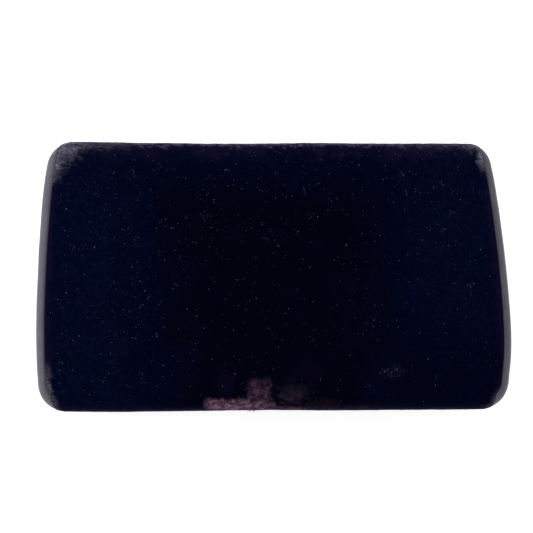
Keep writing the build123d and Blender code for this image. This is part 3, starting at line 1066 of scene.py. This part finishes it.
for shown, shader in (
        (("hinge_base_leaf", "hinge_lid_leaf"),
         metal_material("aged_brass", (0.60, 0.42, 0.17), (0.40, 0.27, 0.105), 0.28, (0.08, 1, 1))),
        (("base_shell", "lid_shell"), shell_material()),
        (("base_collar",),
         weave_material("collar_cloth", (0.006, 0.006, 0.016), (0.030, 0.031, 0.060), 0.28)),
        (("cradle_block",),
         flock_material("flocking", (0.004, 0.004, 0.014), (0.016, 0.018, 0.050), 0.30)),
        (("base_hinge_rivets", "lid_hinge_rivets"),
         metal_material("rivet_brass", (0.66, 0.47, 0.21), (0.30, 0.20, 0.09), 0.26)),
        (("hinge_pin",),
         metal_material("pin_steel", (0.50, 0.50, 0.50), (0.22, 0.20, 0.19), 0.28, (0.08, 1, 1))),
        (("base_magnets", "lid_magnets"),
         metal_material("nickel", (0.62, 0.60, 0.56), (0.42, 0.40, 0.37), 0.20)),
        (("lid_lining_card",), card_material())):
    for node in shown:
        dress(nodes[node], shader)

# ---- lint and the lifted tuft on the lid

LINT_COUNT = 1500           # tries; some fall where no lint is left
LINT_MARGIN = 0.5           # nearer the edge than this, a fibre is left out
TUFT_X = -4.6
TUFT_FIBRES = 70


def top_height(x, y):
    """Height of the lid's velvet under a point of the plan."""
    return float(LID.height(np.array(x), np.array(y)))


def strand(points, radius, verts, faces, sides):
    """Adds a closed thin tube along a short line of points."""
    points = [Vector(p) for p in points]
    first = len(verts)
    for i, point in enumerate(points):
        ahead = points[min(i + 1, len(points) - 1)] - points[max(i - 1, 0)]
        across = ahead.cross(Vector((0.21, 0.11, 1.0))).normalized()
        up = across.cross(ahead).normalized()
        taper = radius * (0.55 if i in (0, len(points) - 1) else 1.0)
        for k in range(sides):
            turn = 2 * pi * k / sides
            verts.append(point + (across * cos(turn) + up * sin(turn)) * taper)
    for i in range(len(points) - 1):
        for k in range(sides):
            a, b = first + i * sides + k, first + i * sides + (k + 1) % sides
            faces.append((a, b, b + sides, a + sides))
    faces.append(tuple(first + k for k in range(sides))[::-1])
    last = first + (len(points) - 1) * sides
    faces.append(tuple(last + k for k in range(sides)))


def scatter_lint():
    """Specks, short bits and a few curled fibres lying on the lid's velvet."""
    verts, faces, tone = [], [], []
    for _ in range(LINT_COUNT):
        y = rng.uniform(-25.6, 25.9)
        x = rng.uniform(-1, 1) * (float(seam_x(np.array(min(y, 25.3)))) - 1.2)
        if rng.random() > 0.75 + 0.35 * (y - 0.4 * x) / HALF_WIDTH:
            continue
        if rng.random() < 0.03:
            x, y = rng.normal(SCUFF, (1.3, 0.6))
        kind = rng.random()
        if kind < 0.86:
            length, radius, bend, steps = rng.uniform(0.07, 0.17), rng.uniform(0.030, 0.080), 1.0, 2
        elif kind < 0.97:
            length, radius, bend, steps = rng.uniform(0.25, 0.5), rng.uniform(0.018, 0.034), 1.0, 4
        else:
            length, radius, bend, steps = rng.uniform(0.8, 1.9), 0.013, 2.0, 9
        heading = rng.uniform(0, 2 * pi)
        curl = rng.normal(0, bend)
        line = []
        for _ in range(steps + 1):
            line.append((x, y, top_height(x, y) + 0.05 + radius))
            heading += curl / steps
            x += cos(heading) * length / steps
            y += sin(heading) * length / steps
        shade = rng.random() ** 1.8
        plan_x, plan_y, _ = np.array(line).T
        if edge_distance(plan_x, plan_y).min() > LINT_MARGIN:
            first = len(verts)
            strand(line, radius, verts, faces, 4)
            tone += [shade] * (len(verts) - first)
    obj = make_object("lid_lint", verts, faces, "lid")
    float_attribute(obj, "lint_tone", tone)
    return obj


def raise_tuft():
    """Pile pulled up along the front edge where it has been rubbed."""
    verts, faces = [], []
    for _ in range(TUFT_FIBRES):
        x = rng.normal(TUFT_X, 0.62)
        y = -HALF_WIDTH + 0.35 + rng.normal(0, 0.12)
        z = top_height(x, y) - 0.25
        lean = rng.normal(0, 0.35)
        length = rng.uniform(0.25, 0.55)
        line = [(x, y, z), (x + lean * 0.12, y - 0.5 * length, z + 0.12),
                (x + lean * 0.35, y - length, z + 0.10)]
        strand(line, rng.uniform(0.022, 0.035), verts, faces, 3)
    return make_object("lid_tuft", verts, faces, "lid")


dress(scatter_lint(), lint_material())
dress(raise_tuft(), pulled_material())

# ---- floor, light and camera

OVERHEAD_POWER = 1.3
WINDOW_POWER = 3.3
WORLD_LIGHT = 0.82
FLOOR_SIZE = 60.0           # metres, so that low views don't see past it
CAMERA_DISTANCE = 450.0
AIM_Z = 13.0                # half way up the shut case
CAMERA_LEFT, CAMERA_FRONT, CAMERA_ROLL = radians(3.0), radians(3.5), radians(0.3)
LENS = 146.5
SHIFT_X, SHIFT_Y = -0.0078, 0.0240


def floor():
    bpy.ops.mesh.primitive_grid_add(
        x_subdivisions=2, y_subdivisions=2, size=FLOOR_SIZE, location=(0, 0, -0.0002))
    ground = bpy.context.object
    ground.name = "floor"
    dress(ground, Shader("pale_floor", Roughness=0.9, Specular_IOR_Level=0.1, Base_Color=(0.86, 0.86, 0.86),
                         Emission_Strength=0.55, Emission_Color=(1, 1, 1)))


def area_light(name, location, size, power):
    """A soft rectangular light aimed at the middle of the case; location and size in metres."""
    data = bpy.data.lights.new(name, "AREA")
    data.shape = "RECTANGLE"
    data.size, data.size_y = size
    data.energy = power
    light = bpy.data.objects.new(name, data)
    scene.collection.objects.link(light)
    light.location = location
    aim = Vector((0, 0, PARTING_Z * MM)) - Vector(location)
    light.rotation_euler = aim.to_track_quat("-Z", "Y").to_euler()


def world_light(strength):
    world = bpy.data.worlds.new("studio")
    world.use_nodes = True
    background = world.node_tree.nodes["Background"]
    background.inputs["Color"].default_value = (1, 1, 1, 1)
    background.inputs["Strength"].default_value = strength
    scene.world = world


def camera():
    data = bpy.data.cameras.new("camera")
    data.lens = LENS
    data.sensor_width = 36.0
    data.shift_x, data.shift_y = SHIFT_X, SHIFT_Y
    data.clip_start, data.clip_end = 0.01, 20.0
    eye = bpy.data.objects.new("camera", data)
    scene.collection.objects.link(eye)
    scene.camera = eye
    back = Vector((-sin(CAMERA_LEFT), -sin(CAMERA_FRONT), 1.0))
    back.z = sqrt(1 - back.x ** 2 - back.y ** 2)
    right = Vector((0, 1, 0)).cross(back).normalized()
    up = back.cross(right)
    turn = Matrix((right, up, back)).transposed().to_4x4() @ Matrix.Rotation(-CAMERA_ROLL, 4, "Z")
    aim = Vector((0, 0, AIM_Z))
    eye.matrix_world = Matrix.Translation((aim + back * CAMERA_DISTANCE) * MM) @ turn


floor()
world_light(WORLD_LIGHT)
area_light("overhead", (-0.15, 0.45, 0.9), (0.9, 0.6), OVERHEAD_POWER)
area_light("left_window", (-0.8, 0.1, 0.35), (0.8, 0.6), WINDOW_POWER)
camera()
scene.view_settings.view_transform = "Standard"
